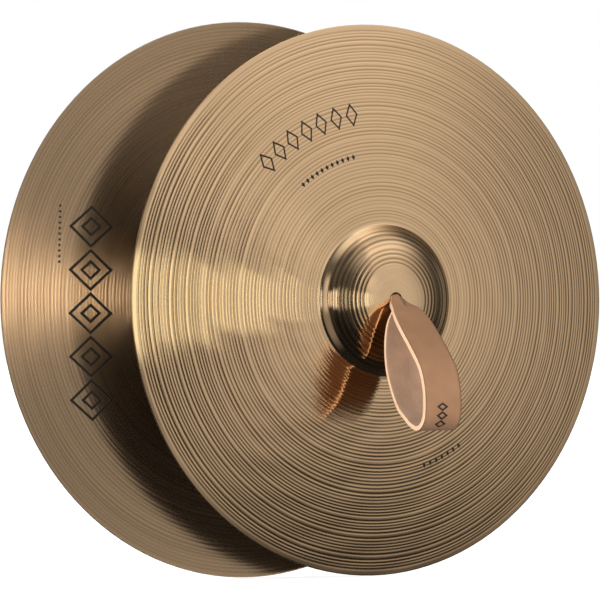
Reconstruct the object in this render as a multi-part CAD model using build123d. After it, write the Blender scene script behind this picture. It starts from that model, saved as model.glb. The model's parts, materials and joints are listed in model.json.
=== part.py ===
from build123d import *
import math
import os

# A pair of 20 inch orchestral hand cymbals with leather strap handles, in millimetres.
# The origin is the centre of the front cymbal's strap hole, on the bell's outer face.
# +Y runs from the front cymbal to the rear one, +Z is up, and the two discs stand upright.

# Cymbal
RIM_RADIUS = 254.0
HOLE_RADIUS = 6.5
TOTAL_HEIGHT = 39.6
BELL_RADIUS = 66.5
BELL_BASE_HEIGHT = 20.5
BELL_POWER = 2.1
BELL_FLANK_START = 65.0
BOW_HEIGHT = 19.6
BOW_INNER_RADIUS = 70.0
BOW_POWER = 1.35
BELL_BOW_BLEND = 1.6
BELL_THICKNESS = 1.2
RIM_THICKNESS = 0.9
PROFILE_STEPS = 72

# Placement of the pair
RIM_GAP = 34.0
REAR_SHIFT_X = -114.0

# Leather strap
STRAP_THICKNESS = 4.0
STRAP_WIDTH = 38.0
NECK_WIDTH = 16.0
TAPER_START_Z = -2.0
TAPER_END_Z = -30.0
SWING_AXIS_OUT = 5.2
EYE_RADIUS = 4.6

# Strap tails, woven into a flat knot inside the bell
TAIL_THICKNESS = 2.4
STEM_WIDTH = 5.6
STEM_GAP = 0.25
STEM_BEND = 2.2
STEM_END = 8.5
TAIL_WIDTH = 7.0
TAIL_PITCH = 11.0
TAIL_START = 5.0
TAIL_LIFT = 1.2
WEAVE_GAP = 0.5
WEAVE_BEND = 2.7
CROSSING_HALF_GAP = 1.7
KNOT_REACH = 12.0
TAIL_END_REACH = 31.0

REAR_HOLE_Y = 2 * TOTAL_HEIGHT + RIM_GAP


def bell_height(radius):
    """Height of the bell's outer face over the rim plane: a superellipse crown, then a straight flank."""
    reach = min(radius, BELL_FLANK_START) / BELL_RADIUS
    rise = TOTAL_HEIGHT - BELL_BASE_HEIGHT
    inside = 1 - reach**BELL_POWER
    height = BELL_BASE_HEIGHT + rise * inside ** (1 / BELL_POWER)
    slope = rise / BELL_RADIUS * reach ** (BELL_POWER - 1) * inside ** (1 / BELL_POWER - 1)
    return height - slope * max(0.0, radius - BELL_FLANK_START)


def bow_height(radius):
    """Height of the bow's outer face over the rim plane, falling in a shallow curve to the rim."""
    span = max(0.0, radius - BOW_INNER_RADIUS) / (RIM_RADIUS - BOW_INNER_RADIUS)
    return BOW_HEIGHT * (1 - span**BOW_POWER)


def outer_height(radius):
    """Bell and bow joined by a small concave fillet."""
    bell = bell_height(radius)
    bow = bow_height(radius)
    joined = 0.5 * (bell + bow + math.hypot(bell - bow, BELL_BOW_BLEND))
    return joined if radius < 2 * BELL_RADIUS else bow


def wall(radius):
    """Thickness of the bronze sheet, thinning towards the rim."""
    return BELL_THICKNESS + (RIM_THICKNESS - BELL_THICKNESS) * radius / RIM_RADIUS


def cymbal():
    """One cymbal about the Y axis, with its outer face towards -Y and the hole's outer face at y = 0."""
    last = RIM_RADIUS - RIM_THICKNESS / 2
    radii = [HOLE_RADIUS + (last - HOLE_RADIUS) * step / PROFILE_STEPS for step in range(PROFILE_STEPS + 1)]
    top = outer_height(HOLE_RADIUS)
    outer = [(r, top - outer_height(r)) for r in radii]
    inner = [(r, y + wall(r)) for r, y in outer]
    with BuildPart() as part:
        with BuildSketch(Plane.XY):
            with BuildLine():
                face = Spline(*outer)
                back = Spline(*inner)
                Line(face @ 0, back @ 0)
                middle = ((face @ 1) + (back @ 1)) / 2
                ThreePointArc(face @ 1, middle + Vector(RIM_THICKNESS / 2, 0), back @ 1)
            make_face()
        revolve(axis=Axis.Y)
    return part.part


def strap_path():
    """Centreline of the hanging loop, as (y, z): out along the front leg, round, and back up the rear."""
    outward_and_down = [
        (SWING_AXIS_OUT, EYE_RADIUS - STRAP_THICKNESS / 2),
        (20.5, -12.0),
        (54.0, -44.5),
        (78.0, -81.0),
        (79.0, -106.0),
        (65.0, -116.3),
        (33.0, -98.5),
        (14.5, -64.0),
        (9.0, -27.5),
        (SWING_AXIS_OUT, STRAP_THICKNESS / 2 - EYE_RADIUS),
    ]
    return Spline(*[(-out, down) for out, down in outward_and_down])


def ribbon(path, thickness, width):
    """A strip of even thickness that follows a path in the YZ plane, with its width along X."""
    outline = Plane.YZ * trace(path, line_width=thickness)
    return extrude(outline, width / 2, both=True)


def strap_loop():
    """The wide hand loop of the strap, narrowed to a rounded neck at the swing axis outside the hole."""
    band = ribbon(strap_path(), STRAP_THICKNESS, STRAP_WIDTH)
    eye_outline = Plane.YZ * Pos(-SWING_AXIS_OUT, 0) * Circle(EYE_RADIUS)
    eye = extrude(eye_outline, NECK_WIDTH / 2, both=True)
    depth = 4 * STRAP_WIDTH
    outline = [
        (NECK_WIDTH / 2, 2 * EYE_RADIUS),
        (NECK_WIDTH / 2, TAPER_START_Z),
        (STRAP_WIDTH / 2, TAPER_END_Z),
        (STRAP_WIDTH / 2, -depth),
    ]
    mirrored = [(-x, z) for x, z in reversed(outline)]
    silhouette = extrude(Plane.XZ * make_face(Polyline(*outline, *mirrored, close=True)), depth)
    return eye + (band & silhouette)


def strap_tail(quarter):
    """One tail: through the hole, out along the bell, folded back over one tail and under the next."""
    square = STEM_WIDTH + TAIL_THICKNESS + STEM_GAP
    stem_x = (STEM_WIDTH - square) / 2
    stem_z = (square - TAIL_THICKNESS) / 2
    step = TAIL_THICKNESS + WEAVE_GAP
    root = BELL_THICKNESS + TAIL_LIFT + TAIL_THICKNESS / 2
    under = root + step
    over = under + step
    bight = KNOT_REACH + step
    rise = FilletPolyline((0, stem_z), (root, stem_z), (root, STEM_END), radius=STEM_BEND)
    stem = Pos(stem_x, 0, 0) * ribbon(rise, TAIL_THICKNESS, STEM_WIDTH)
    weave = [
        (root, TAIL_START),
        (root, bight),
        (over, bight),
        (over, CROSSING_HALF_GAP),
        (under, -CROSSING_HALF_GAP),
        (under, -TAIL_END_REACH),
    ]
    fold = FilletPolyline(*weave, radius=WEAVE_BEND)
    woven = Pos(-TAIL_PITCH / 2, 0, 0) * ribbon(fold, TAIL_THICKNESS, TAIL_WIDTH)
    return Rot(0, 90 * quarter, 0) * (stem + woven)


def write_side(side, place):
    """Writes one cymbal with its strap: the disc, the hand loop and the four tails, each its own solid."""
    export_step(place * cymbal(), f"parts/{side}_cymbal.step")
    export_step(place * strap_loop(), f"parts/{side}_strap_loop.step")
    for quarter in range(4):
        export_step(place * strap_tail(quarter), f"parts/{side}_strap_tail_{quarter + 1}.step")


os.makedirs("parts", exist_ok=True)
write_side("front", Location())
write_side("rear", Pos(REAR_SHIFT_X, REAR_HOLE_Y, 0) * Rot(0, 0, 180))
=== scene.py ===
import json
import math

import bpy
import numpy as np
from mathutils import Matrix, Vector


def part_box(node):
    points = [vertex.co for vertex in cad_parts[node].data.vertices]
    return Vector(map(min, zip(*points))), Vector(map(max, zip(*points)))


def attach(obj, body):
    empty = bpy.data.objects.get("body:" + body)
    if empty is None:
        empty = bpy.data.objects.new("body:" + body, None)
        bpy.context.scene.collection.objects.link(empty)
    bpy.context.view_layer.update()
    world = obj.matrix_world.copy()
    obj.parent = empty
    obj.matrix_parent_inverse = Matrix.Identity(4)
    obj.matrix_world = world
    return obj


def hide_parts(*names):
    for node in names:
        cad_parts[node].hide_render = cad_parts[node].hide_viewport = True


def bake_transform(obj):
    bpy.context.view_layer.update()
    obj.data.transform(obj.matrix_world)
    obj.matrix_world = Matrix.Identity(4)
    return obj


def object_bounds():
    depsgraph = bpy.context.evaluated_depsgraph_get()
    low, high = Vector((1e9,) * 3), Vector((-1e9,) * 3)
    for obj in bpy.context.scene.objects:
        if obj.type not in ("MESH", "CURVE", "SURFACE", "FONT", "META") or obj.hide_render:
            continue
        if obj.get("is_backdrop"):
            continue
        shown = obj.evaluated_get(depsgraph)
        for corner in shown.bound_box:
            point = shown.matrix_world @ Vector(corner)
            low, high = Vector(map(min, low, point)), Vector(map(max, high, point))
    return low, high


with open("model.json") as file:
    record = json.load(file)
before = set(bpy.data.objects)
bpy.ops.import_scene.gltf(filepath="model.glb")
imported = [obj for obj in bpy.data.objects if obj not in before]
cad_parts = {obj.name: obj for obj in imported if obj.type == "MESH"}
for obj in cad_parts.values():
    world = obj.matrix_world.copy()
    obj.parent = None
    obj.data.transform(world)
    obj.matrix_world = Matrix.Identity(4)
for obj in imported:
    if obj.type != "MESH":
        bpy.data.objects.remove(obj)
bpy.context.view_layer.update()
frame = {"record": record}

# A pair of lathed bronze hand cymbals with leather straps. Metres throughout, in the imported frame: the
# origin is the front strap hole, the discs' axes run along Y, and Z is up.
MM = 0.001

# Cymbal profile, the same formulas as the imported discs
DISC_LOW, DISC_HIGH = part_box("front_cymbal")
RIM_RADIUS = (DISC_HIGH[0] - DISC_LOW[0]) / 2
HOLE_RADIUS = 6.5 * MM
TOTAL_HEIGHT = 39.6 * MM
BELL_RADIUS = 66.5 * MM
BELL_BASE_HEIGHT = 20.5 * MM
BELL_POWER = 2.1
BELL_FLANK_START = 65 * MM
BOW_HEIGHT = 19.6 * MM
BOW_INNER_RADIUS = 70 * MM
BOW_POWER = 1.35
BELL_BOW_BLEND = 1.6 * MM
BELL_THICKNESS = 1.2 * MM
RIM_THICKNESS = 0.9 * MM

# Mesh rings: the outer face in two stretches, the rounded rim, and the inner face
DISC_SEGMENTS = 128
BELL_RINGS = 160
BOW_RINGS = 370
OUTER_RINGS = BELL_RINGS + BOW_RINGS
RIM_RINGS = 4
INNER_RINGS = 240
RING_CHANGE_RADIUS = 75 * MM

# Lathe cuts, as (start radius, end radius, pitch, depth, seed offset)
BELL_CUT = 0.15 * MM
BOW_CUT = 0.115 * MM
INNER_CUT = 0.09 * MM
PLAIN_RIM = 5.5 * MM
OUTER_CUTS = [
    (11 * MM, 32 * MM, 2.2 * MM, 0.025 * MM, 0),
    (34 * MM, 65 * MM, 3.8 * MM, BELL_CUT, 3),
    (73 * MM, RIM_RADIUS - PLAIN_RIM, 3.1 * MM, BOW_CUT, 1),
]
INNER_CUTS = (76 * MM, 250 * MM, 3.4 * MM, INNER_CUT, 4)
# Ranges of the random draws: cuts in a group, and widths and depths as shares of the nominal ones
CUTS_IN_GROUP = (4, 9)
CUT_WIDTHS = (0.82, 1.18)
CUT_DEPTHS = (0.6, 1.0)
LAND_WIDTHS = (0.1, 0.6)
CENTRE_DEPTH = 0.85
RIM_EXTRA_DEPTH = 0.15

# Hammer swells: waves summed over the bow, each with a whole number of turns and a radial length
SWELL_HEIGHT = 0.03 * MM
SWELL_WAVES = 28
SWELL_TURNS = (3, 34)
SWELL_LENGTHS = (22 * MM, 60 * MM)
SWELL_FADE_IN = 20 * MM
SWELL_FADE_OUT = 6 * MM
SWELL_SEED_OFFSET = 2
INNER_SWELL_SHARE = 0.25

# Each disc has its own random draws
FRONT_SEED = 11
REAR_SEED = 47

# Strap: a band that narrows and arches towards both ends, where a slit parts it into two tails
STRAP_THICKNESS = 4.2 * MM
REAR_LEG_THICKNESS = 3.0 * MM
REAR_CHANGE_SHARE = 0.2
STRAP_WIDTH = 38.5 * MM
TAPER_LENGTH = 21.0 * MM
TAPER_POWER = 1.5
NECK_THICKNESS = 3.2 * MM
NECK_WIDTH = 11.0 * MM
NECK_LENGTH = 9.0 * MM
NECK_ARCH = 3.4 * MM
NECK_ARCH_SPREAD = 8.0 * MM
LEG_ARCH = 0.8 * MM
LEG_ARCH_LENGTH = 25.0 * MM
BAND_BEVEL = 0.7 * MM
BEVEL_SEGMENTS = 2
BEVEL_ANGLE = math.radians(40)
STRAP_ROWS = 150

# Slit at the neck: its place across the band drifts to the middle as it closes, and one lip lies deeper
SLIT_LENGTH = 20.0 * MM
SLIT_HALF_GAP = 0.8 * MM
SLIT_STEP = 1.1 * MM
SLIT_SHARE = 0.61
SLIT_END_SHARE = 0.52
BAND_SHARES = [0.0, 0.06, 0.15, 0.26, 0.38, 0.5, SLIT_SHARE, 0.73, 0.84, 0.93, 1.0]
SLIT_COLUMN = BAND_SHARES.index(SLIT_SHARE)

# Tails of the knot, a quarter turn apart
TAILS = 4
TAIL_THICKNESS = 2.5 * MM
STEM_WIDTH = 5.4 * MM
TAIL_WIDTH = 7.3 * MM
TAIL_SETTLE_START = 3.0 * MM
TAIL_SETTLE_LENGTH = 9.0 * MM
TAIL_TIP_LENGTH = 8.0 * MM
TAIL_TIP_NARROWING = 0.25
TAIL_CROWN = 0.35 * MM
TAIL_BEVEL = 0.5 * MM
TAIL_ROWS = 70
TAIL_COLUMNS = 7

# The lines below are in millimetres. The strap's middle line is (distance out from the hole, height): out
# along the front leg and back along the rear.
STRAP_LINE = [
    (-0.8, 3.1), (1.5, 3.2), (5.5, 1.2), (20.5, -12.3), (35.4, -26.3), (53.8, -44.3), (70.0, -62.8),
    (76.8, -81.2), (77.9, -95.5), (76.6, -106.6), (71.6, -114.0), (64.0, -116.6), (53.5, -113.2),
    (44.5, -107.3), (33.1, -98.7), (21.6, -81.2), (14.1, -63.7), (10.8, -45.7), (8.8, -27.4),
    (5.5, -10.0), (2.5, -4.5), (-0.8, -3.1),
]
# A tail's middle line is (depth into the bell, height). Sideways the tail moves from the stem's place at the
# hole to its own lane.
TAIL_LINE = [
    (0.9, 3.0), (1.8, 3.1), (3.5, 4.9), (3.7, 9.0), (4.1, 12.6), (6.5, 15.6), (9.2, 12.6), (9.5, 6.0),
    (8.2, 0.6), (6.5, -4.5), (6.4, -10.0), (5.9, -16.0), (5.5, -24.0), (5.9, -31.0),
]
STEM_X = -1.3
LANE_X = -5.5
CURVE_STEPS = 24

# Each side is made with its strap hole at the origin and its outer face towards -Y, then put in its place
MOUNTS = {mount["name"]: Vector(mount["pos_m"]) for mount in frame["record"]["mounts"]}
FRONT = Matrix.Translation(MOUNTS["front_grip"])
REAR = Matrix.Translation(MOUNTS["rear_grip"]) @ Matrix.Rotation(math.pi, 4, "Z")


# ---------------------------------------------------------------- cymbal meshes

def bell_height(radius):
    """Height of the bell's outer face over the rim plane: a superellipse crown, then a straight flank."""
    reach = np.minimum(radius, BELL_FLANK_START) / BELL_RADIUS
    rise = TOTAL_HEIGHT - BELL_BASE_HEIGHT
    inside = 1 - reach**BELL_POWER
    slope = rise / BELL_RADIUS * reach ** (BELL_POWER - 1) * inside ** (1 / BELL_POWER - 1)
    crown = BELL_BASE_HEIGHT + rise * inside ** (1 / BELL_POWER)
    return crown - slope * np.maximum(0, radius - BELL_FLANK_START)


def outer_height(radius):
    """Height of the whole outer face over the rim plane, bell and bow joined by a small fillet."""
    span = np.maximum(0, radius - BOW_INNER_RADIUS) / (RIM_RADIUS - BOW_INNER_RADIUS)
    bow = BOW_HEIGHT * (1 - span**BOW_POWER)
    bell = bell_height(radius)
    joined = 0.5 * (bell + bow + np.hypot(bell - bow, BELL_BOW_BLEND))
    return np.where(radius < 2 * BELL_RADIUS, joined, bow)


def cut_lines(seed, start, end, pitch, depth, offset):
    """Lathe cuts between two radii, as (radius, half width, depth), in groups with a land after each."""
    draw = np.random.default_rng(seed + offset)
    cuts = []
    radius = start
    while radius < end:
        for _ in range(draw.integers(*CUTS_IN_GROUP)):
            half_width = pitch / 2 * draw.uniform(*CUT_WIDTHS)
            deepening = CENTRE_DEPTH + RIM_EXTRA_DEPTH * (radius / end) ** 2
            cuts.append((radius, half_width, depth * deepening * draw.uniform(*CUT_DEPTHS)))
            radius += 2 * half_width
        radius += pitch * draw.uniform(*LAND_WIDTHS)
    return [cut for cut in cuts if cut[0] < end]


def cut_depth(radius, cuts):
    """How deep the lathe cuts go at a radius."""
    depth = np.zeros_like(radius)
    for centre, half_width, deepest in cuts:
        away = np.minimum(np.abs(radius - centre) / half_width, 1)
        depth = np.maximum(depth, deepest * 0.5 * (1 + np.cos(np.pi * away)))
    return depth


def hammering(radius, angle, seed):
    """Low swells left by the hammer on the bow, as a height over the turned face."""
    draw = np.random.default_rng(seed)
    swell = np.zeros(np.broadcast(radius, angle).shape)
    for _ in range(SWELL_WAVES):
        turns = draw.integers(*SWELL_TURNS)
        ripple = 2 * math.pi / draw.uniform(*SWELL_LENGTHS)
        swell += np.cos(turns * angle + ripple * radius + draw.uniform(0, 2 * math.pi))
    past_bell = np.clip((radius - BELL_RADIUS) / SWELL_FADE_IN, 0, 1)
    before_rim = np.clip((RIM_RADIUS - radius) / SWELL_FADE_OUT, 0, 1)
    return SWELL_HEIGHT * swell / math.sqrt(SWELL_WAVES / 2) * past_bell * before_rim


def new_mesh(name, vertices, faces, materials, face_materials=None):
    """A smooth-shaded piece in the scene, with a material slot for each of its faces."""
    mesh = bpy.data.meshes.new(name)
    mesh.from_pydata([tuple(v) for v in vertices], [], faces)
    for finish in materials:
        mesh.materials.append(finish)
    if face_materials is not None:
        mesh.polygons.foreach_set("material_index", face_materials)
    mesh.polygons.foreach_set("use_smooth", [True] * len(mesh.polygons))
    mesh.update()
    piece = bpy.data.objects.new(name, mesh)
    bpy.context.scene.collection.objects.link(piece)
    return piece


def add_uv(piece, name, values):
    """A texture map on a piece, one pair of values per face corner."""
    layer = piece.data.uv_layers.new(name=name)
    layer.data.foreach_set("uv", np.asarray(values, np.float32).ravel())


def disc_rings(seed):
    """Radius, depth and groove strength of each ring: outer face, then rim, then inner face."""
    rim_start = RIM_RADIUS - RIM_THICKNESS / 2
    outer_r = np.concatenate([
        np.linspace(HOLE_RADIUS, RING_CHANGE_RADIUS, BELL_RINGS, endpoint=False),
        np.linspace(RING_CHANGE_RADIUS, rim_start, BOW_RINGS),
    ])
    inner_r = np.linspace(rim_start, HOLE_RADIUS, INNER_RINGS)
    bead = np.linspace(0, math.pi, RIM_RINGS + 2)[1:-1]
    bead_r = RIM_RADIUS - RIM_THICKNESS / 2 * (1 - np.sin(bead))
    outer_groove = cut_depth(outer_r, [cut for band in OUTER_CUTS for cut in cut_lines(seed, *band)])
    inner_groove = cut_depth(inner_r, cut_lines(seed, *INNER_CUTS))
    wall = BELL_THICKNESS + (RIM_THICKNESS - BELL_THICKNESS) * inner_r / RIM_RADIUS
    top = outer_height(np.array([HOLE_RADIUS]))[0]
    depths = np.concatenate([
        top - outer_height(outer_r) + outer_groove,
        top - outer_height(np.full_like(bead_r, rim_start)) + RIM_THICKNESS / 2 * (1 - np.cos(bead)),
        top - outer_height(inner_r) + wall - inner_groove,
    ])
    grooves = [np.minimum(1, outer_groove / BOW_CUT), np.zeros(RIM_RINGS), inner_groove / INNER_CUT]
    return np.concatenate([outer_r, bead_r, inner_r]), depths, np.concatenate(grooves)


def ring_faces(radii):
    """Quads from each ring to the next, their polar map, and their materials: 0 outside, 1 inside."""
    faces, turns, slots = [], [], []
    rings = len(radii)
    for i in range(rings):
        k = (i + 1) % rings
        here, there = i * DISC_SEGMENTS, k * DISC_SEGMENTS
        for j in range(DISC_SEGMENTS):
            n = (j + 1) % DISC_SEGMENTS
            faces.append((here + j, here + n, there + n, there + j))
            left, right = j / DISC_SEGMENTS, (j + 1) / DISC_SEGMENTS
            turns += [(left, radii[i]), (right, radii[i]), (right, radii[k]), (left, radii[k])]
        slots += [0 if i < OUTER_RINGS + RIM_RINGS // 2 else 1] * DISC_SEGMENTS
    return faces, turns, slots


def cymbal(name, place, materials, seed):
    """One lathed disc: outer face with deep cuts, rounded rim, inner face with fine cuts, and the hole."""
    radii, depths, grooves = disc_rings(seed)
    angle = np.arange(DISC_SEGMENTS) * 2 * math.pi / DISC_SEGMENTS
    swell = hammering(radii[:, None], angle[None, :], seed + SWELL_SEED_OFFSET)
    swell[OUTER_RINGS + RIM_RINGS:] *= INNER_SWELL_SHARE
    x = radii[:, None] * np.cos(angle)[None, :]
    y = depths[:, None] + swell
    z = radii[:, None] * np.sin(angle)[None, :]
    vertices = np.stack([x, y, z], -1).reshape(-1, 3)
    faces, turns, slots = ring_faces(radii)
    piece = new_mesh(name, vertices, faces, materials, slots)
    add_uv(piece, "polar", turns)
    add_uv(piece, "face", vertices[np.array(faces).ravel()][:, (0, 2)])
    groove = piece.data.attributes.new("groove", "FLOAT", "POINT")
    groove.data.foreach_set("value", np.repeat(grooves, DISC_SEGMENTS).astype(np.float32))
    piece.data.transform(place)
    return piece


# ---------------------------------------------------------------- leather meshes

def smooth_line(points, count):
    """A Catmull-Rom curve through points, evenly spaced, with its unit tangents and its arc length."""
    points = np.array(points, float)
    padded = np.vstack([2 * points[0] - points[1], points, 2 * points[-1] - points[-2]])
    fine = []
    for a, b, c, d in zip(padded, padded[1:], padded[2:], padded[3:]):
        square = 2 * a - 5 * b + 4 * c - d
        cube = 3 * b - a - 3 * c + d
        for t in np.linspace(0, 1, CURVE_STEPS, endpoint=False):
            fine.append(0.5 * (2 * b + (c - a) * t + square * t**2 + cube * t**3))
    fine = np.array(fine + [points[-1]])
    length = np.concatenate([[0], np.cumsum(np.linalg.norm(np.diff(fine, axis=0), axis=1))])
    along = np.linspace(0, length[-1], count)
    even = np.stack([np.interp(along, length, fine[:, i]) for i in range(points.shape[1])], 1)
    tangent = np.gradient(even, axis=0)
    return even, tangent / np.linalg.norm(tangent, axis=1)[:, None], along


def thick_sheet(name, middle, outward, thickness, flat, quads, materials, bevel):
    """Gives a sheet of quads its thickness: grain face outward, flesh face inward, cut edges round it."""
    half = np.asarray(thickness)[:, None] / 2
    vertices = np.vstack([middle + outward * half, middle - outward * half])
    count = len(middle)
    faces = list(quads) + [tuple(v + count for v in reversed(quad)) for quad in quads]
    slots = [0] * len(quads) + [1] * len(quads)
    uv = [flat[v] for quad in quads for v in quad] + [flat[v] for quad in quads for v in reversed(quad)]
    sides = {}
    for quad in quads:
        for a, b in zip(quad, quad[1:] + quad[:1]):
            sides[(a, b)] = sides.get((a, b), 0) + 1
    for a, b in sides:
        if (b, a) in sides:
            continue
        faces.append((b, a, a + count, b + count))
        slots.append(2)
        start, end = sum(flat[a]), sum(flat[b])
        uv += [(end, half[b, 0]), (start, half[a, 0]), (start, -half[a, 0]), (end, -half[b, 0])]
    piece = new_mesh(name, vertices, faces, materials, slots)
    add_uv(piece, "strap", uv)
    return rounded(piece, bevel)


def rounded(piece, width):
    """Rounds the cut edges with a bevel and makes it part of the mesh."""
    bevel = piece.modifiers.new("round", "BEVEL")
    bevel.width = width
    bevel.segments = BEVEL_SEGMENTS
    bevel.limit_method = "ANGLE"
    bevel.angle_limit = BEVEL_ANGLE
    bevel.use_clamp_overlap = True
    evaluated = piece.evaluated_get(bpy.context.evaluated_depsgraph_get())
    piece.data = bpy.data.meshes.new_from_object(evaluated)
    piece.modifiers.clear()
    return piece


def band_section(along, from_end):
    """Width, thickness and arch of the hand loop, at each length along it and from its nearer end."""
    narrow = np.exp(-((from_end / TAPER_LENGTH) ** TAPER_POWER))
    width = STRAP_WIDTH - (STRAP_WIDTH - NECK_WIDTH) * narrow
    rear_share = np.clip((along / along[-1] - 0.5) / REAR_CHANGE_SHARE, 0, 1)
    thickness = STRAP_THICKNESS - (STRAP_THICKNESS - REAR_LEG_THICKNESS) * rear_share
    thickness += (NECK_THICKNESS - thickness) * np.exp(-((from_end / NECK_LENGTH) ** 2))
    arch = NECK_ARCH * np.exp(-(((from_end - NECK_LENGTH) / NECK_ARCH_SPREAD) ** 2))
    arch = arch + LEG_ARCH * np.exp(-((from_end / LEG_ARCH_LENGTH) ** 2))
    return width, thickness, arch


def band_row(opened):
    """Points across the band, as (column, lip, side from -1 to 1, sideways shift, recess).

    The slit's column has two lips where the slit is open (opened over 0), and the second lip and the columns
    after it lie deeper.
    """
    slit_share = SLIT_END_SHARE + (SLIT_SHARE - SLIT_END_SHARE) * opened
    gap = SLIT_HALF_GAP * opened**0.5
    step = SLIT_STEP * opened**0.5
    points = []
    for column, share in enumerate(BAND_SHARES):
        side = 2 * np.interp(share, (0, SLIT_SHARE, 1), (0, slit_share, 1)) - 1
        if column == SLIT_COLUMN and opened > 0:
            points += [(column, 0, side, -gap, 0.0), (column, 1, side, gap, step)]
        else:
            points.append((column, 0, side, 0.0, step if column > SLIT_COLUMN else 0.0))
    return points


def band_quads(index):
    """Quads between the band's rows. They leave the slit open, and share its column where it has one lip."""
    quads = []
    for row in range(STRAP_ROWS - 1):
        for column in range(len(BAND_SHARES) - 1):
            left = (column, 1 if column == SLIT_COLUMN else 0)
            right = (column + 1, 0)
            corners = [(row, *left), (row + 1, *left), (row + 1, *right), (row, *right)]
            quads.append(tuple(index.get(corner, index.get(corner[:2] + (0,))) for corner in corners))
    return quads


def strap_band(name, place, materials):
    """The hand loop: one wide band, out of the hole, round, and back in, slit and arched at its neck."""
    line, tangent, along = smooth_line(STRAP_LINE, STRAP_ROWS)
    line, along = line * MM, along * MM
    from_end = np.minimum(along, along[-1] - along)
    width, thickness, arch = band_section(along, from_end)
    middle, outward, flat, thick, index = [], [], [], [], {}
    for row in range(STRAP_ROWS):
        normal = np.array([0, tangent[row, 1], tangent[row, 0]])
        opened = max(0.0, 1 - from_end[row] / SLIT_LENGTH)
        for column, lip, side, shift, recess in band_row(opened):
            across = side * width[row] / 2
            point = np.array([across + shift, -line[row, 0], line[row, 1]])
            index[row, column, lip] = len(middle)
            middle.append(point - normal * (arch[row] * side**2 + recess))
            outward.append(normal)
            flat.append((along[row], across))
            thick.append(thickness[row])
    middle, outward = np.array(middle), np.array(outward)
    piece = thick_sheet(name, middle, outward, thick, flat, band_quads(index), materials, BAND_BEVEL)
    piece.data.transform(place)
    return piece


def strap_tail(name, place, quarter, materials):
    """One tail of the knot: out of the hole, along the bell, then back over one tail and under the next."""
    line, tangent, along = smooth_line(TAIL_LINE, TAIL_ROWS)
    line, along = line * MM, along * MM
    settle = np.clip((along - TAIL_SETTLE_START) / TAIL_SETTLE_LENGTH, 0, 1)
    settle = settle**2 * (3 - 2 * settle)
    centre_x = (STEM_X + (LANE_X - STEM_X) * settle) * MM
    tip = np.clip((along - along[-1] + TAIL_TIP_LENGTH) / TAIL_TIP_LENGTH, 0, 1)
    width = STEM_WIDTH + (TAIL_WIDTH - STEM_WIDTH) * settle
    width = width * (1 - TAIL_TIP_NARROWING * tip**2)
    middle, outward, flat, quads = [], [], [], []
    for row in range(TAIL_ROWS):
        normal = np.array([0, -tangent[row, 1], tangent[row, 0]])
        for side in np.linspace(-1, 1, TAIL_COLUMNS):
            across = side * width[row] / 2
            point = np.array([centre_x[row] + across, line[row, 0], line[row, 1]])
            middle.append(point - normal * (TAIL_CROWN * side**2))
            outward.append(normal)
            flat.append((along[row], across))
    for row in range(TAIL_ROWS - 1):
        for column in range(TAIL_COLUMNS - 1):
            start = row * TAIL_COLUMNS + column
            quads.append((start, start + 1, start + TAIL_COLUMNS + 1, start + TAIL_COLUMNS))
    thick = [TAIL_THICKNESS] * len(middle)
    middle, outward = np.array(middle), np.array(outward)
    piece = thick_sheet(name, middle, outward, thick, flat, quads, materials, TAIL_BEVEL)
    piece.data.transform(place @ Matrix.Rotation(-math.pi / 2 * quarter, 4, "Y"))
    return piece


# ---------------------------------------------------------------- materials

# Patterns are scaled in millimetres, and the bronze shines most across its turning lines
TO_MM = 1000.0
DRIFT_ROUND_DISC = 0.9
QUARTER_TURN = 0.25

# Printed ornaments, as place, pitch, count, (half length, half height) and line width, 0 for filled ones.
# On the outer face the place is (angle in degrees, radius); on the inner face it is (x, z) on the flat face.
INK = (0.012, 0.011, 0.01)
FRONT_MARKS = [
    ((117, 172 * MM), 17 * MM, 7, (6.5 * MM, 11 * MM), 1.5 * MM),
    ((116, 134 * MM), 6 * MM, 11, (1.8 * MM, 2.6 * MM), 0.0),
    ((295, 160 * MM), 7 * MM, 7, (1.6 * MM, 3.0 * MM), 0.0),
]
INSIDE_MARKS = [
    ((157 * MM, -13 * MM), 39 * MM, 5, (19 * MM, 24 * MM), 2.4 * MM),
    ((157 * MM, -13 * MM), 39 * MM, 5, (9 * MM, 11.5 * MM), 2.4 * MM),
    ((191 * MM, 58 * MM), 5 * MM, 11, (1.3 * MM, 1.6 * MM), 0.0),
]

# The strap's map is in millimetres: (along from the hole by the front leg, across from the middle)
STRAP_INK = (0.02, 0.017, 0.015)
STRAP_MARK_PLACE = (141.0, -1.0)
STRAP_MARK_ROW = (7.6, 3, (3.9, 6.2), 1.7, 0.2)
# The grain's colour is darker on the front leg near the hole and eases to a lighter tint between these
# lengths along the strap, in millimetres.
NEAR_HOLE_FADE = (70.0, 150.0)
NEAR_HOLE_TINT = (0.60, 0.55, 0.47)
FAR_FROM_HOLE_TINT = (0.90, 0.88, 0.85)
# Painted shade: a dark brown laid over the grain along the band's rounded sides, and a painted shadow line
# along the slit near the hole.
EDGE_SHADE_COLOUR = (0.055, 0.03, 0.016)
EDGE_SHADE_STRENGTH = 0.9
SHADED_SIDES = (17.4, 18.9)
SHADED_SIDES_STRENGTH = 0.65
SLIT_SHADOW_ALONG = (10.0, 20.0)
SLIT_SHADOW_ACROSS = (1.2, 0.5)
SLIT_SHADOW_EDGE = (0.9, 1.7)
SLIT_SHADOW_END = (17.0, 21.0)


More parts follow.
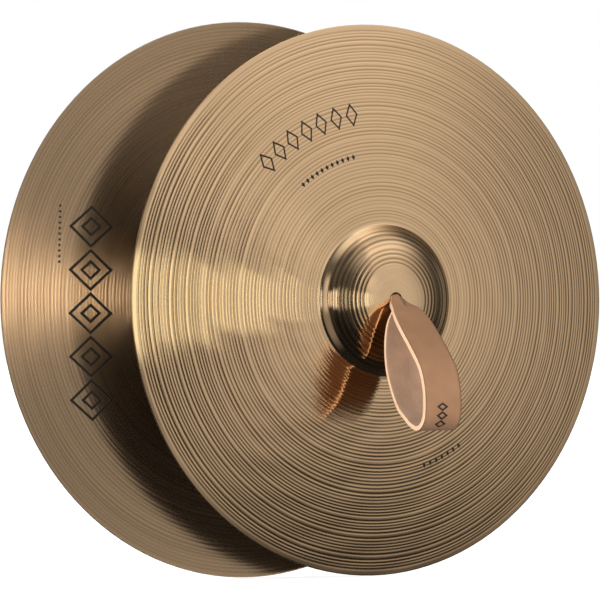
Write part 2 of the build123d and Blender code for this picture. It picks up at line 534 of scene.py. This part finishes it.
class Nodes:
    """Short calls for building a node tree."""

    def __init__(self, tree):
        self.tree = tree

    def add(self, kind, inputs=None, **settings):
        made = self.tree.nodes.new("ShaderNode" + kind)
        for key, value in settings.items():
            setattr(made, key, value)
        for key, value in (inputs or {}).items():
            if isinstance(value, bpy.types.NodeSocket):
                self.tree.links.new(value, made.inputs[key])
            else:
                made.inputs[key].default_value = value
        return made

    def math(self, operation, a, b=0.0, c=0.0):
        return self.add("Math", {0: a, 1: b, 2: c}, operation=operation).outputs[0]

    def ramp(self, value, low, high, to_low=0.0, to_high=1.0, kind="LINEAR"):
        inputs = {"Value": value, "From Min": low, "From Max": high, "To Min": to_low, "To Max": to_high}
        return self.add("MapRange", inputs, interpolation_type=kind).outputs[0]

    def mix(self, factor, a, b, blend="MIX"):
        return self.add("Mix", {0: factor, 6: a, 7: b}, data_type="RGBA", blend_type=blend).outputs[2]

    def noise(self, vector, scale, detail=2.0, roughness=0.5):
        inputs = {"Vector": vector, "Scale": scale, "Detail": detail, "Roughness": roughness}
        return self.add("TexNoise", inputs).outputs["Fac"]

    def uv(self, name):
        return self.add("UVMap", uv_map=name).outputs[0]

    def scaled(self, vector, x, y, z=1.0):
        return self.add("VectorMath", {0: vector, 1: (x, y, z)}, operation="MULTIPLY").outputs[0]


def material(name):
    """A new material, with its node calls and its shader."""
    made = bpy.data.materials.new(name)
    made.use_nodes = True
    nodes = Nodes(made.node_tree)
    return made, nodes, made.node_tree.nodes["Principled BSDF"]


def set_inputs(nodes, shader, **inputs):
    """Sets a shader's inputs to values or sockets, with underscores for the spaces in their names."""
    for key, value in inputs.items():
        socket = shader.inputs[key.replace("_", " ")]
        if isinstance(value, bpy.types.NodeSocket):
            nodes.tree.links.new(value, socket)
        else:
            socket.default_value = value


def polar(nodes):
    """Radius in metres, a vector that wraps round the disc without a seam, and the angle in radians."""
    uv = nodes.add("SeparateXYZ", {0: nodes.uv("polar")})
    turn = nodes.math("MULTIPLY", uv.outputs[0], 2 * math.pi)
    radius = uv.outputs[1]
    circle = {0: nodes.math("COSINE", turn), 1: nodes.math("SINE", turn), 2: 0.0}
    return radius, nodes.add("CombineXYZ", circle).outputs[0], turn


def lozenges(nodes, along, across, pitch, count, half_size, line=0.0, soft=0.25 * MM):
    """A mask for a row of plain lozenges centred on zero, filled, or outlined if line is given."""
    cell = nodes.math("ROUND", nodes.math("DIVIDE", along, pitch))
    cell = nodes.math("MINIMUM", nodes.math("MAXIMUM", cell, -(count - 1) / 2), (count - 1) / 2)
    aside = nodes.math("ABSOLUTE", nodes.math("SUBTRACT", along, nodes.math("MULTIPLY", cell, pitch)))
    above = nodes.math("ABSOLUTE", across)
    half_long, half_high = half_size
    reach = nodes.math("ADD", nodes.math("DIVIDE", aside, half_long), nodes.math("DIVIDE", above, half_high))
    scale = 1 / math.hypot(1 / half_long, 1 / half_high)
    inside = nodes.math("MULTIPLY", nodes.math("SUBTRACT", 1.0, reach), scale)
    mask = nodes.ramp(inside, -soft, soft)
    if line:
        mask = nodes.math("SUBTRACT", mask, nodes.ramp(inside, line - soft, line + soft))
    return mask


def front_marks(nodes):
    """Plain ornaments on the outer face: two arcs at the upper left, and a short one at the lower right."""
    radius, _, turn = polar(nodes)
    ink = 0.0
    for (angle, arc_radius), *row in FRONT_MARKS:
        off = nodes.math("WRAP", nodes.math("SUBTRACT", turn, math.radians(angle)), math.pi, -math.pi)
        along = nodes.math("MULTIPLY", off, arc_radius)
        across = nodes.math("SUBTRACT", radius, arc_radius)
        ink = nodes.math("MAXIMUM", ink, lozenges(nodes, along, across, *row))
    return ink


def inside_marks(nodes):
    """Plain ornaments on the inner face: an upright row of double lozenges, with a finer row beside it."""
    face = nodes.add("SeparateXYZ", {0: nodes.uv("face")}).outputs
    ink = 0.0
    for (x, z), *row in INSIDE_MARKS:
        along = nodes.math("SUBTRACT", face[1], z)
        across = nodes.math("SUBTRACT", face[0], x)
        ink = nodes.math("MAXIMUM", ink, lozenges(nodes, along, across, *row))
    return ink


def turning_lines(nodes):
    """A vector whose noise gives lathe lines: it changes fast with the radius and slowly round the disc."""
    radius, around, _ = polar(nodes)
    slow = nodes.add("VectorMath", {0: around, 3: DRIFT_ROUND_DISC}, operation="SCALE").outputs[0]
    fast = nodes.add("CombineXYZ", {2: nodes.math("MULTIPLY", radius, TO_MM)}).outputs[0]
    return nodes.add("VectorMath", {0: slow, 1: fast}, operation="ADD").outputs[0]


def bronze(name, colour, dark, cut_colour, roughness, stretch, line_bump, metallic, marks):
    """Lathed bronze: fine turning lines in colour and bump, with the shine stretched across them."""
    made, nodes, shader = material(name)
    lines = turning_lines(nodes)
    fine = nodes.noise(lines, scale=1.1, detail=3.0, roughness=0.65)
    broad = nodes.noise(lines, scale=0.16, detail=2.0, roughness=0.5)
    tone = nodes.math("ADD", nodes.math("MULTIPLY", fine, 0.7), nodes.math("MULTIPLY", broad, 0.3))
    base = nodes.mix(nodes.ramp(tone, low=0.35, high=0.65), (*dark, 1), (*colour, 1))
    groove = nodes.add("Attribute", attribute_name="groove").outputs["Fac"]
    base = nodes.mix(nodes.ramp(groove, low=0.2, high=1.0), base, (*cut_colour, 1))
    height = nodes.noise(lines, scale=0.8, detail=1.0, roughness=0.5)
    bump = nodes.add("Bump", {"Strength": 1.0, "Distance": line_bump, "Height": height})
    ink = marks(nodes)
    base = nodes.mix(ink, base, (*INK, 1))
    shine = nodes.ramp(fine, 0.3, 0.7, roughness * 0.85, roughness * 1.2)
    set_inputs(
        nodes, shader,
        Base_Color=base, Metallic=nodes.math("MULTIPLY", nodes.math("SUBTRACT", 1.0, ink), metallic),
        Roughness=nodes.math("ADD", shine, nodes.math("MULTIPLY", ink, 0.3)),
        Anisotropic=stretch, Anisotropic_Rotation=QUARTER_TURN, Normal=bump.outputs[0],
        Tangent=nodes.add("Tangent", direction_type="UV_MAP", uv_map="polar").outputs[0],
    )
    return made


def painted_edge_shade(nodes, flat):
    """A mask for painted shade along the band's rounded sides and a painted shadow line along the slit at
    its neck.
    """
    along, across, _ = nodes.add("SeparateXYZ", {0: flat}).outputs
    side = nodes.ramp(nodes.math("ABSOLUTE", across), *SHADED_SIDES, 0.0, SHADED_SIDES_STRENGTH)
    slit = nodes.math("SUBTRACT", across, nodes.ramp(along, *SLIT_SHADOW_ALONG, *SLIT_SHADOW_ACROSS))
    slit = nodes.ramp(nodes.math("ABSOLUTE", slit), *SLIT_SHADOW_EDGE, 1.0, 0.0)
    slit = nodes.math("MULTIPLY", slit, nodes.ramp(along, *SLIT_SHADOW_END, 1.0, 0.0))
    return nodes.math("MAXIMUM", side, slit)


def strap_mark(nodes, flat):
    """Three plain lozenges printed near the bottom of the front leg."""
    place = nodes.add("SeparateXYZ", {0: flat}).outputs
    along = nodes.math("SUBTRACT", place[0], STRAP_MARK_PLACE[0])
    across = nodes.math("SUBTRACT", place[1], STRAP_MARK_PLACE[1])
    return lozenges(nodes, along, across, *STRAP_MARK_ROW)


def darkened_leather(nodes, flat, base, near_hole_fade):
    """The leather's colour, darker on the front leg near the hole, with painted shade along its sides and a
    painted shadow along the slit at its neck.
    """
    along = nodes.add("SeparateXYZ", {0: flat}).outputs[0]
    tint = nodes.mix(nodes.ramp(along, *near_hole_fade), (*NEAR_HOLE_TINT, 1), (*FAR_FROM_HOLE_TINT, 1))
    base = nodes.mix(1.0, base, tint, "MULTIPLY")
    # Painted shade on the rounded sides and painted shadow along the slit
    edge_shade = nodes.math("MULTIPLY", painted_edge_shade(nodes, flat), EDGE_SHADE_STRENGTH)
    return nodes.mix(edge_shade, base, (*EDGE_SHADE_COLOUR, 1))


def leather(
    name, light, dark, roughness, grain_scale, bump_depth, sheen, fibres=1.0, mark=None, near_hole_fade=None,
):
    """Natural leather from the strap map: cloudy tone, small pores or fibres, and a soft bump."""
    made, nodes, shader = material(name)
    flat = nodes.scaled(nodes.uv("strap"), TO_MM, TO_MM)
    cloud = nodes.noise(flat, scale=0.045, detail=3.0, roughness=0.6)
    stretched = nodes.scaled(flat, fibres, 1.0)
    grain = nodes.noise(stretched, grain_scale, detail=4.0, roughness=0.7)
    pores = nodes.add("TexVoronoi", {"Vector": stretched, "Scale": grain_scale * 1.7}).outputs["Distance"]
    tone = nodes.math("ADD", nodes.math("MULTIPLY", cloud, 0.6), nodes.math("MULTIPLY", grain, 0.4))
    base = nodes.mix(nodes.ramp(tone, low=0.32, high=0.68), (*dark, 1), (*light, 1))
    if near_hole_fade:
        base = darkened_leather(nodes, flat, base, near_hole_fade)
    if mark:
        base = nodes.mix(mark(nodes, flat), base, (*STRAP_INK, 1))
    height = nodes.math("ADD", grain, nodes.ramp(pores, low=0.0, high=0.35))
    bump = nodes.add("Bump", {"Strength": 0.6, "Distance": bump_depth, "Height": height})
    set_inputs(
        nodes, shader,
        Base_Color=base, Roughness=nodes.ramp(grain, 0.3, 0.7, roughness * 0.9, min(1.0, roughness * 1.15)),
        Normal=bump.outputs[0], Sheen_Weight=sheen, Sheen_Roughness=0.5, Specular_IOR_Level=0.35,
    )
    return made


# ---------------------------------------------------------------- stage, light and camera

# Angles are in degrees, with azimuth 0 in front of the pair and growing to the right
SKY_FADE = (-20.0, 35.0)
SKY_LOW = (0.015, 0.015, 0.015)
SKY_HIGH = (0.13, 0.13, 0.13)
SOFTBOXES = [
    # name, (azimuth, elevation), (half width, half height), (soft left, right, top and bottom), colour
    ("key", (31.7, 14), (17, 25), (2, 15, 8), (0.60, 0.58, 0.555)),
    ("key left end", (17.5, 8.5), (3.5, 4.5), (1.5, 3, 3), (0.36, 0.35, 0.33)),
    ("upper key", (28, 52), (30, 30), (12, 16, 8), (0.42, 0.41, 0.40)),
    ("level band", (44, 1), (8, 5), (8, 8, 5), (0.09, 0.09, 0.09)),
    ("bright lamp", (12.5, 0.4), (3.5, 3.5), (1.2, 1.2, 0.8), (1.60, 1.65, 1.35)),
    ("near left lamp", (-10, 1), (2.5, 7), (1.5, 1.5, 3), (1.10, 1.10, 1.00)),
    ("left lamp", (-29, 1), (4, 8), (2, 2, 3), (2.10, 2.10, 2.00)),
    ("far left lamp", (-54, 1), (5, 8), (2, 2, 3), (1.80, 1.80, 1.70)),
    ("left wall", (-98, 8), (24, 20), (8, 8, 8), (1.10, 1.06, 1.00)),
    ("right wall", (98, 2), (18, 14), (8, 8, 8), (0.16, 0.16, 0.15)),
    ("zenith", (0, 90), (180, 30), (1, 1, 20), (0.95, 0.92, 0.88)),
    ("back wall", (180, 20), (42, 32), (12, 12, 12), (0.70, 0.69, 0.66)),
    ("low left", (-95, -30), (38, 24), (15, 15, 14), (0.24, 0.23, 0.22)),
    ("low right", (128, -30), (38, 24), (15, 15, 14), (0.20, 0.20, 0.19)),
    ("low back", (-170, -30), (30, 24), (15, 15, 14), (0.26, 0.25, 0.24)),
]

FLOOR_HALF_SIZE = 40.0
FLOOR_GAP = 0.5 * MM
FLOOR_GLOW = 0.8

VIEW_AZIMUTH = -31
VIEW_ELEVATION = -0.6
VIEW_DISTANCE = 4.002
VIEW_ASIDE = 0.0674
LENS = 260.4
SENSOR = 36


def direction(azimuth, elevation):
    """The unit vector towards an azimuth and an elevation."""
    azimuth, elevation = math.radians(azimuth), math.radians(elevation)
    return Vector((
        math.sin(azimuth) * math.cos(elevation),
        -math.cos(azimuth) * math.cos(elevation),
        math.sin(elevation),
    ))


def softbox(nodes, azimuth, elevation, where, half_size, soft, colour):
    """A lit panel of sky with soft edges."""
    aside = nodes.math("WRAP", nodes.math("SUBTRACT", azimuth, float(where[0])), 180.0, -180.0)
    above = nodes.math("ABSOLUTE", nodes.math("SUBTRACT", elevation, float(where[1])))
    wide, high = half_size
    soft_left, soft_right, soft_top = soft
    left = nodes.ramp(aside, -wide - soft_left, -wide + soft_left, 0.0, 1.0, "SMOOTHSTEP")
    right = nodes.ramp(aside, wide - soft_right, wide + soft_right, 1.0, 0.0, "SMOOTHSTEP")
    upright = nodes.ramp(above, high - soft_top, high + soft_top, 1.0, 0.0, "SMOOTHSTEP")
    lit = nodes.math("MULTIPLY", nodes.math("MULTIPLY", left, right), upright)
    return nodes.mix(lit, (0, 0, 0, 1), (*colour, 1))


def sky():
    """A dim studio with softboxes for the metal to mirror, and plain white behind it all for the camera."""
    world = bpy.data.worlds.new("studio")
    bpy.context.scene.world = world
    world.use_nodes = True
    nodes = Nodes(world.node_tree)
    background = world.node_tree.nodes["Background"]
    toward = nodes.add("SeparateXYZ", {0: nodes.add("TexCoord").outputs["Generated"]}).outputs
    front = nodes.math("MULTIPLY", toward[1], -1.0)
    azimuth = nodes.math("DEGREES", nodes.math("ARCTAN2", toward[0], front))
    elevation = nodes.math("DEGREES", nodes.math("ARCSINE", toward[2]))
    shade = nodes.mix(nodes.ramp(elevation, *SKY_FADE), (*SKY_LOW, 1), (*SKY_HIGH, 1))
    for _, where, half_size, soft, colour in SOFTBOXES:
        lit = softbox(nodes, azimuth, elevation, where, half_size, soft, colour)
        shade = nodes.mix(1.0, shade, lit, "ADD")
    is_camera = nodes.add("LightPath").outputs["Is Camera Ray"]
    colour = nodes.mix(is_camera, shade, (1, 1, 1, 1))
    world.node_tree.links.new(colour, background.inputs[0])


def panel(name, only, blockers, where, centre, distance, size, power, colour):
    """A rectangular lamp that lights only some pieces, placed by its direction and distance from centre."""
    out = direction(*where)
    data = bpy.data.lights.new(name, "AREA")
    data.shape = "RECTANGLE"
    data.size, data.size_y = size
    data.energy = power
    data.color = colour
    lamp = bpy.data.objects.new(name, data)
    lamp.location = Vector(centre) + out * distance
    lamp.rotation_mode = "QUATERNION"
    lamp.rotation_quaternion = out.to_track_quat("Z", "Y")
    bpy.context.scene.collection.objects.link(lamp)
    lamp.light_linking.receiver_collection = group(name + "_receivers", only)
    if blockers:
        data.cycles.use_multiple_importance_sampling = False
        lamp.light_linking.blocker_collection = group(name + "_blockers", blockers)


def group(name, pieces):
    """A collection of pieces, for linking a lamp to them."""
    made = bpy.data.collections.new(name)
    for piece in pieces:
        made.objects.link(piece)
    return made


def floor():
    """A pale floor that meets the white backdrop with no line, darker only where the cymbals shade it."""
    size = FLOOR_HALF_SIZE
    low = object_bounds()[0][2] - FLOOR_GAP
    corners = [(-size, -size, low), (size, -size, low), (size, size, low), (-size, size, low)]
    made, nodes, shader = material("floor")
    glow = nodes.math("MULTIPLY", nodes.add("LightPath").outputs["Is Camera Ray"], FLOOR_GLOW)
    set_inputs(nodes, shader, Base_Color=(0.9, 0.9, 0.9, 1), Roughness=0.9, Specular_IOR_Level=0.0)
    set_inputs(nodes, shader, Emission_Color=(1, 1, 1, 1), Emission_Strength=glow)
    plane = new_mesh("floor", corners, [(0, 1, 2, 3)], [made])
    plane.visible_glossy = False
    plane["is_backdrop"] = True


def look_camera():
    """A long lens to the left of the axes and a little below them, moved aside to hold both discs."""
    azimuth = math.radians(VIEW_AZIMUTH)
    right = Vector((math.cos(azimuth), math.sin(azimuth), 0))
    back = direction(VIEW_AZIMUTH, VIEW_ELEVATION)
    rim_centre = Vector((0, TOTAL_HEIGHT, 0))
    data = bpy.data.cameras.new("camera")
    data.sensor_width = SENSOR
    data.lens = LENS
    camera = bpy.data.objects.new("camera", data)
    camera.location = rim_centre + back * VIEW_DISTANCE - right * VIEW_ASIDE
    camera.rotation_mode = "QUATERNION"
    camera.rotation_quaternion = (-back).to_track_quat("-Z", "Y")
    bpy.context.scene.collection.objects.link(camera)
    bpy.context.scene.camera = camera


# ---------------------------------------------------------------- the pair

def one_side(side, place, seed, bronzes, leathers):
    """One cymbal's disc, hand loop and knot, each in place of its CAD node; the disc and the knot's tails on
    their bodies.
    """
    disc = cymbal(f"{side}_disc", place, bronzes, seed)
    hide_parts(f"{side}_cymbal")
    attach(disc, f"{side}_cymbal")
    band = strap_band(f"{side}_band", place, leathers)
    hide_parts(f"{side}_strap_loop")
    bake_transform(band)
    leather_pieces = [band]
    for quarter in range(TAILS):
        tail = strap_tail(f"{side}_tail_{quarter + 1}", place, quarter, leathers)
        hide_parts(f"{side}_strap_tail_{quarter + 1}")
        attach(tail, f"{side}_knot")
        leather_pieces.append(tail)
    return disc, leather_pieces


outer_bronze = bronze(
    "bronze_outer", colour=(0.88, 0.62, 0.375), dark=(0.77, 0.53, 0.31), cut_colour=(0.42, 0.265, 0.14),
    roughness=0.115, stretch=0.9, line_bump=0.006 * MM, metallic=1.0, marks=front_marks,
)
# The inner faces use the outer's alloy with colours painted about half as bright: painted shade for the
# shadow the front disc casts into the rear's hollow.
shaded_inner_bronze = bronze(
    "bronze_inner_painted_shade", colour=(0.43, 0.305, 0.19), dark=(0.34, 0.24, 0.145), cut_colour=(0.25, 0.165, 0.095),
    roughness=0.16, stretch=0.85, line_bump=0.003 * MM, metallic=0.9, marks=inside_marks,
)
grain = leather(
    "leather_grain", light=(0.50, 0.285, 0.165), dark=(0.40, 0.215, 0.12), roughness=0.5,
    grain_scale=1.6, bump_depth=0.05 * MM, sheen=0.1, mark=strap_mark, near_hole_fade=NEAR_HOLE_FADE,
)
flesh = leather(
    "leather_flesh", light=(0.58, 0.36, 0.24), dark=(0.37, 0.225, 0.145), roughness=0.9,
    grain_scale=0.55, bump_depth=0.14 * MM, sheen=0.3,
)
edge = leather(
    "leather_edge", light=(0.95, 0.66, 0.45), dark=(0.86, 0.56, 0.36), roughness=0.75,
    grain_scale=1.3, bump_depth=0.06 * MM, sheen=0.1, fibres=0.25,
)
BRONZES = [outer_bronze, shaded_inner_bronze]
LEATHERS = [grain, flesh, edge]
_, front_leather = one_side("front", FRONT, FRONT_SEED, BRONZES, LEATHERS)
rear_disc, rear_leather = one_side("rear", REAR, REAR_SEED, BRONZES, LEATHERS)

REAR_CENTRE = REAR @ Vector((0, TOTAL_HEIGHT, 0))
STRAP_CENTRE = (0, -0.05, -0.05)
WARM = (1.0, 0.86, 0.70)
DAYLIGHT = (1.0, 0.95, 0.88)
BOTH_STRAPS = front_leather + rear_leather
PANELS = [
    # name, lit, shading, (azimuth, elevation), centre, distance, (width, height), watts, colour
    ("rear streak", [rear_disc], rear_leather, (46.5, 0.4), REAR_CENTRE, 3.0, (0.70, 0.10), 1.4, WARM),
    ("rear low", [rear_disc], None, (43, -8.5), REAR_CENTRE, 3.0, (1.2, 0.75), 0.62, DAYLIGHT),
    ("rear fill", [rear_disc], rear_leather, (37, -15), REAR_CENTRE, 3.0, (1.3, 0.95), 2.5, DAYLIGHT),
    ("strap left", BOTH_STRAPS, None, (-62, 8), STRAP_CENTRE, 1.5, (0.8, 0.8), 22.0, DAYLIGHT),
    ("strap front", BOTH_STRAPS, None, (10, 40), STRAP_CENTRE, 1.5, (0.9, 0.9), 8.0, DAYLIGHT),
]
for lamp_values in PANELS:
    panel(*lamp_values)

floor()
sky()
look_camera()
bpy.context.scene.view_settings.view_transform = "Standard"
